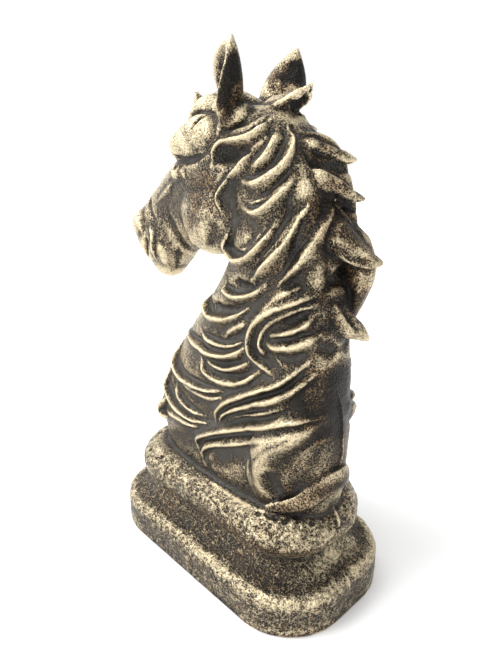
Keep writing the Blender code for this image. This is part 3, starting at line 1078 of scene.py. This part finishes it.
@dataclass
class Horse:
    """The horse's head and neck with its mane."""

    camera: PhotoCamera
    body_voxel: float = 0.75
    body_rounds: int = 28
    section_points: int = 48
    section_steps: int = 3
    hair_lift: float = 3.0
    strand_undercut: float = 0.3
    left_ear: Ear = field(default_factory=Ear)
    right_ear: Ear = field(default_factory=lambda: Ear(tip=(15, 19, 200), bow=(0.5, 2.4, 0), width=15.5))
    body: bpy.types.Mesh = field(init=False)
    skin: Skin = field(init=False)

    def __post_init__(self) -> None:
        """Makes the bald body and the surface that hair is cast on."""
        self.body = self.make_body()
        self.skin = Skin(self.body, self.camera, self.hair_lift)

    def rounded(self, squareness: float) -> tuple[np.ndarray, np.ndarray]:
        """A superellipse that reaches from -1 to 1.

        Args:
            squareness: Its exponent: 2 for a circle, more for squarer ones.

        Returns:
            Its points' two coordinates.
        """
        angle = math.tau * np.arange(self.section_points) / self.section_points
        return signed_power(np.cos(angle), 2 / squareness), signed_power(np.sin(angle), 2 / squareness)

    def neck_rings(self) -> list[list[Vector]]:
        """The neck's sections, from the seat upwards.

        Returns:
            Each section's points in metres.
        """
        rings = []
        for height, front, back, half_width, square in self.between(NECK):
            along, aside = self.rounded(square)
            x = (front + back) / 2 + (back - front) / 2 * along
            rings.append([drawn(*point) for point in zip(x, half_width * aside, np.full(len(x), height))])
        return rings

    def head_rings(self) -> list[list[Vector]]:
        """The head's sections, from the poll to the lips.

        Returns:
            Each section's points in metres.
        """
        rings = []
        for upper_x, upper_z, jaw_x, jaw_z, half_width, square, flare in self.between(HEAD):
            rise, aside = self.rounded(square)
            share = (1 + rise) / 2
            y = half_width * aside * (1 + flare * rise)
            x, z = jaw_x + (upper_x - jaw_x) * share, jaw_z + (upper_z - jaw_z) * share
            rings.append([drawn(*point) for point in zip(x, y, z)])
        return rings

    def between(self, sections: Sequence) -> np.ndarray:
        """Rows of numbers for sections and smooth steps between them."""
        return catmull([astuple(row) for row in sections], self.section_steps)

    def make_body(self) -> bpy.types.Mesh:
        """Makes the neck and the head without hair.

        Returns:
            Their mesh, melted together.
        """
        shape = bmesh.new()
        loft(shape, self.neck_rings())
        loft(shape, self.head_rings())
        for swelling in SWELLINGS:
            x, y, z = swelling.centre
            for side in (1, -1) if y else (1,):
                ball = bmesh.ops.create_uvsphere(shape, u_segments=32, v_segments=20, radius=MM)["verts"]
                bmesh.ops.scale(shape, vec=swelling.radii, verts=ball)
                bmesh.ops.translate(shape, vec=drawn(x, y * side, z), verts=ball)
        return fused(mesh_from(shape, "body"), self.body_voxel, self.body_rounds)

    def carve_mane(self) -> None:
        """Carves the mane's mass, then its strands, then the hollows between them."""
        relief = Relief(self.body)
        for strokes, undercut in ((MASSES, 0.0), (STRANDS + HOLLOWS, self.strand_undercut)):
            relief.carve(self.skin, strokes, undercut=undercut)
            relief.write()

    def add(self, shape: bmesh.types.BMesh) -> None:
        """Adds the carved body, the tresses and the ears to a mesh.

        Args:
            shape: The mesh that they join.
        """
        shape.from_mesh(self.body)
        for tress in TRESSES:
            sweep(shape, self.skin.free_trail(tress.path), tress.width, tress.rise)
        for lock in EAR_LOCKS:
            trail = self.skin.trail(lock.path)
            for way in (trail, trail.mirrored()):
                sweep(shape, way, lock.width, lock.height)
        self.left_ear.add(shape, -1)
        self.right_ear.add(shape, 1)


class Socket:
    """A node's output that reads as a number in shader maths."""

    def __init__(self, paint: "Paint", output: bpy.types.NodeSocket) -> None:
        """Keeps the node tree and the output."""
        self.paint = paint
        self.output = output

    def math(self, operation: str, *others: Number) -> "Socket":
        """A Math node on this value and others."""
        return self.paint.node("ShaderNodeMath", {"operation": operation}, self, *others)

    def __add__(self, other: Number) -> "Socket":
        """Sum."""
        return self.math("ADD", other)

    __radd__ = __add__

    def __mul__(self, other: Number) -> "Socket":
        """Product."""
        return self.math("MULTIPLY", other)

    __rmul__ = __mul__

    def __sub__(self, other: Number) -> "Socket":
        """Difference."""
        return self.math("SUBTRACT", other)

    def __rsub__(self, other: float) -> "Socket":
        """Difference from a number."""
        return self.paint.node("ShaderNodeMath", {"operation": "SUBTRACT"}, other, self)

    def step(self, low: float, high: float) -> "Socket":
        """Rises smoothly from 0 at low to 1 at high."""
        settings = {"interpolation_type": "SMOOTHSTEP"}
        return self.paint.node("ShaderNodeMapRange", settings, self, low, high, 0.0, 1.0)


class Paint:
    """A material's node tree, written as expressions."""

    def __init__(self, name: str) -> None:
        """Makes a material with a Principled shader.

        Args:
            name: Its name.
        """
        self.material = bpy.data.materials.new(name)
        self.material.use_nodes = True
        self.tree = self.material.node_tree
        self.shader = self.tree.nodes["Principled BSDF"]

    def node(self, kind: str, settings: dict, *inputs: Union[Number, tuple, None], output: int = 0) -> Socket:
        """Adds a node.

        Args:
            kind: Its type.
            settings: Its properties, set before its inputs.
            inputs: Values or sockets for its inputs in order; None leaves one alone.
            output: Which output to return.

        Returns:
            The output.
        """
        node = self.tree.nodes.new(kind)
        for key, value in settings.items():
            setattr(node, key, value)
        for slot, value in zip([s for s in node.inputs if s.enabled], inputs):
            if isinstance(value, Socket):
                self.tree.links.new(value.output, slot)
            elif value is not None:
                slot.default_value = value
        return Socket(self, [s for s in node.outputs if s.enabled][output])

    def noise(self, scale: float, detail: float = 2.0, roughness: float = 0.5) -> Socket:
        """Noise in the object's own space, around 0, about -0.5 to 0.5."""
        place = self.node("ShaderNodeTexCoord", {}, output=3)
        return self.node("ShaderNodeTexNoise", {}, place, scale, detail, roughness) - 0.5

    def attribute(self, name: str) -> Socket:
        """A number stored on the mesh."""
        return self.node("ShaderNodeAttribute", {"attribute_name": name}, output=2)

    def mix(self, share: Number, first: Union[Socket, tuple], second: Union[Socket, tuple]) -> Socket:
        """A colour between two."""
        return self.node("ShaderNodeMix", {"data_type": "RGBA"}, share, first, second)

    def set(self, **inputs: Union[Number, tuple]) -> None:
        """Sets or links the shader's inputs.

        Args:
            inputs: Values or sockets by the inputs' names, with underscores for spaces.
        """
        for name, value in inputs.items():
            slot = self.shader.inputs[name.replace("_", " ")]
            if isinstance(value, Socket):
                self.tree.links.new(value.output, slot)
            else:
                slot.default_value = value


@dataclass(frozen=True)
class BronzedIron:
    """Sand-cast iron, dark patina in the hollows deepened by painted shade, and pale gold rubbed over the
    ridges with painted highlights.
    """

    soot: tuple = (0.010, 0.0085, 0.007, 1)
    bronze: tuple = (0.215, 0.170, 0.108, 1)
    copper: tuple = (0.240, 0.148, 0.072, 1)
    slate: tuple = (0.098, 0.091, 0.080, 1)
    gold: tuple = (0.77, 0.65, 0.43, 1)
    grain_scale: float = 1500.0
    clump_scale: float = 800.0
    patch_scale: float = 55.0
    speckle: float = 4.6
    clump_speckle: float = 1.6
    fine_ridge: float = 3.2
    broad_ridge: float = 0.48
    patch_ridge: float = 0.6
    wear_and_light_ridge: float = 0.45
    broad_limit: float = 1.2
    hollow_range: tuple = (0.1, 1.0)
    copper_range: tuple = (0.0, 0.8)
    bronze_range: tuple = (-0.5, 0.95)
    patina_and_shade_range: tuple = (0.8, 2.2)
    gold_range: tuple = (0.02, 1.75)
    metallic: float = 0.7
    gold_metallic: float = 0.25
    roughness: float = 0.37
    gold_smoothness: float = 0.06
    bump_depth: float = 0.0007
    hollow_calm: float = 0.75
    slate_cover: float = 0.75
    patina_and_shade_cover: float = 0.9

    def material(self) -> bpy.types.Material:
        """Builds the material.

        Returns:
            The material.
        """
        paint = Paint("bronzed_iron")
        grain = paint.noise(self.grain_scale, 1.0, 0.6)
        clump = paint.noise(self.clump_scale, 1.0, 0.5)
        patch = paint.noise(self.patch_scale, 3.0, 0.6)
        fine = paint.attribute("fine_height")
        broad = paint.attribute("broad_height").math("MINIMUM", self.broad_limit)
        # Strokes stored on the mesh: wear of the gold, painted shade and painted highlights.
        wear_and_painted_light = paint.attribute("wear_and_painted_light")
        hollow = (0.0 - broad * 0.6 - fine * 1.2).step(*self.hollow_range)
        lively = (grain * self.speckle + clump * self.clump_speckle) * (1.0 - hollow * self.hollow_calm)
        ridge = fine * self.fine_ridge + broad * self.broad_ridge
        ridge = ridge + patch * self.patch_ridge + wear_and_painted_light * self.wear_and_light_ridge
        warm = (patch * 2.0 + clump + 0.1 - wear_and_painted_light * 0.3).step(*self.copper_range)
        warm = paint.mix(warm, self.bronze, self.copper)
        ground = paint.mix((lively + ridge * 0.5).step(*self.bronze_range), self.soot, warm)
        ground = paint.mix(hollow * self.slate_cover, ground, self.slate)
        # Soot over the deep hollows and the dark strokes: partly patina, partly painted shade.
        patina_and_painted_shade = (0.0 - wear_and_painted_light * 0.8 - broad * 0.55 - fine * 0.8).step(*self.patina_and_shade_range)
        ground = paint.mix(patina_and_painted_shade * self.patina_and_shade_cover, ground, self.soot)
        # Gold rubbed over the ridges, with painted highlights where the strokes are bright.
        gold_rub_and_highlight = (ridge + lively * 0.5).step(*self.gold_range)
        colour = paint.mix(gold_rub_and_highlight, ground, self.gold)
        bump = paint.node("ShaderNodeBump", {}, 1.0, self.bump_depth, 0.1, grain + clump * 0.8)
        paint.set(
            Base_Color=colour,
            Metallic=gold_rub_and_highlight * self.gold_metallic + self.metallic,
            Roughness=self.roughness - gold_rub_and_highlight * self.gold_smoothness,
            Normal=bump,
        )
        return paint.material


@dataclass(frozen=True)
class Unevenness:
    """One of the skin's waves. Its scale is per metre, its heights are in millimetres."""

    scale: float
    offset: Point
    height: float
    extra_on_base: float

    def at(self, points: np.ndarray) -> np.ndarray:
        """The wave at points, from about -1 to 1."""
        offset = Vector(self.offset)
        return np.array([noise.noise(Vector(point) * self.scale + offset) for point in points])


# From the broadest wave to the finest.
UNEVENNESS = (
    Unevenness(160, (0, 0, 0), 0.15, 0.3),
    Unevenness(420, (7, 3, 5), 0.08, 0.22),
    Unevenness(800, (2, 9, 4), 0.04, 0.26),
)


@dataclass
class Casting:
    """The whole bust as one finely carved skin. Lengths in millimetres."""

    horse: Horse
    base: Base
    voxel: float = 0.7
    triangles: int = 196000
    tuft_undercut: float = 0.5
    base_band: tuple[float, float] = (SEAT_HEIGHT + 3, SEAT_HEIGHT - 4)
    foot_band: tuple[float, float] = (0.3, 2.5)
    fine_rounds: int = 6
    broad_rounds: int = 70
    pits: int = 70
    pit_seed: int = 11
    pit_angle: float = math.radians(70)
    pit_spread: float = 2.2
    pit_radius: tuple[float, float] = (1.6, 2.6)
    pit_depth: tuple[float, float] = (0.8, 1.6)

    def build(self) -> None:
        """Models, carves and dresses the casting."""
        self.horse.carve_mane()
        shape = bmesh.new()
        self.horse.add(shape)
        self.base.add(shape)
        mesh = fused(mesh_from(shape, "cast_bust"), self.voxel, 1)
        relief = Relief(mesh)
        skin = Skin(mesh, self.horse.camera)
        relief.carve(skin, FACE)
        relief.write()
        relief.carve(skin, TUFTS, mirrored=False, undercut=self.tuft_undercut)
        relief.carve(skin, EAR_EDGES + TOP_LOCK + SEAM, mirrored=False)
        self.roughen(relief)
        relief.points[:, 2] = np.maximum(relief.points[:, 2], 0)
        relief.write()
        mesh = self.thinned(mesh)
        relief = Relief(mesh)
        relief.store_height("fine_height", self.fine_rounds)
        relief.store_height("broad_height", self.broad_rounds)
        relief.shade(skin, WEAR_AND_PAINTED_LIGHT, "wear_and_painted_light")
        mesh.name = "cast_bust"
        mesh.shade_smooth()
        bust = placed("cast_bust", mesh)
        mesh.materials.clear()
        mesh.materials.append(BronzedIron().material())
        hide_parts("horse_head_casting")
        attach(bust, "root")
        LOG.info("cast bust: %d faces", len(mesh.polygons))

    def roughen(self, relief: Relief) -> None:
        """Gives the skin the unevenness of a sand mould, more on the base, and pits along the roll.

        Args:
            relief: The relief that it changes.
        """
        height = relief.points[:, 2] / MM
        base = smoothstep(*self.base_band, height)
        foot = smoothstep(*self.foot_band, height)
        move = np.zeros(len(height))
        for wave in UNEVENNESS:
            move += wave.at(relief.points) * (wave.height + wave.extra_on_base * base)
        relief.points += relief.normals * (move * foot * MM)[:, None]
        draw = np.random.default_rng(self.pit_seed)
        ring = self.base.roll_ring(self.pit_angle)
        for spot in draw.uniform(0, len(ring), self.pits):
            centre = Vector(ring[int(spot)]) + Vector(draw.normal(0, self.pit_spread, 3) * MM)
            relief.dent(centre, draw.uniform(*self.pit_radius), draw.uniform(*self.pit_depth))

    def thinned(self, mesh: bpy.types.Mesh) -> bpy.types.Mesh:
        """Thins a mesh's flattest areas to the triangle limit.

        Args:
            mesh: The mesh.

        Returns:
            The thinner mesh.
        """
        count = sum(len(face.vertices) - 2 for face in mesh.polygons)
        thing = placed("thinned", mesh)
        thing.modifiers.new("thin", "DECIMATE").ratio = min(1.0, self.triangles / count)
        return applied(thing)


@dataclass
class Studio:
    """White floor, pale surroundings and a soft lamp from the upper left."""

    camera: PhotoCamera
    floor_size: float = 3.0
    lamp_energy: float = 2.4
    lamp_spread: float = math.radians(36)
    lamp_direction: Point = (0.42, 0.50, -0.75)
    glow_side: Point = (-0.50, -0.45, 0.74)
    glow_range: tuple[float, float] = (-0.5, 0.95)
    glow_strength: tuple[float, float] = (0.25, 1.65)

    def build(self) -> None:
        """Sets up the floor, the world, the lamp and the camera."""
        shape = bmesh.new()
        bmesh.ops.create_grid(shape, x_segments=1, y_segments=1, size=self.floor_size)
        floor = placed("floor", mesh_from(shape, "floor"))
        paint = Paint("white_floor")
        paint.set(Base_Color=(0.93, 0.93, 0.93, 1), Roughness=0.9)
        floor.data.materials.append(paint.material)
        world = bpy.data.worlds.new("studio")
        bpy.context.scene.world = world
        world.use_nodes = True
        self.grade(world.node_tree)
        light = bpy.data.lights.new("key", "SUN")
        light.energy = self.lamp_energy
        light.angle = self.lamp_spread
        lamp = placed("key", light)
        lamp.rotation_mode = "QUATERNION"
        lamp.rotation_quaternion = Vector(self.lamp_direction).to_track_quat("-Z", "Y")
        bpy.context.scene.view_settings.view_transform = "Standard"
        self.camera.place()

    def grade(self, tree: bpy.types.NodeTree) -> None:
        """Makes the surroundings brighter on the upper left, and the backdrop plain white.

        Args:
            tree: The world's nodes.
        """
        place = tree.nodes.new("ShaderNodeTexCoord")
        towards = tree.nodes.new("ShaderNodeVectorMath")
        towards.operation = "DOT_PRODUCT"
        towards.inputs[1].default_value = Vector(self.glow_side).normalized()
        strength = tree.nodes.new("ShaderNodeMapRange")
        limits = self.glow_range + self.glow_strength
        for slot, value in zip(("From Min", "From Max", "To Min", "To Max"), limits):
            strength.inputs[slot].default_value = value
        seen = tree.nodes.new("ShaderNodeLightPath")
        choice = tree.nodes.new("ShaderNodeMix")
        choice.inputs["B"].default_value = 1.0
        tree.links.new(place.outputs["Generated"], towards.inputs[0])
        tree.links.new(towards.outputs["Value"], strength.inputs["Value"])
        tree.links.new(seen.outputs["Is Camera Ray"], choice.inputs["Factor"])
        tree.links.new(strength.outputs["Result"], choice.inputs["A"])
        tree.nodes["Background"].inputs["Color"].default_value = (1, 1, 1, 1)
        tree.links.new(choice.outputs["Result"], tree.nodes["Background"].inputs["Strength"])


def main() -> None:
    """Builds the bust and its studio."""
    logging.basicConfig(level=logging.INFO)
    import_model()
    camera = PhotoCamera()
    Casting(Horse(camera), Base()).build()
    Studio(camera).build()


if __name__ == "__main__":
    main()
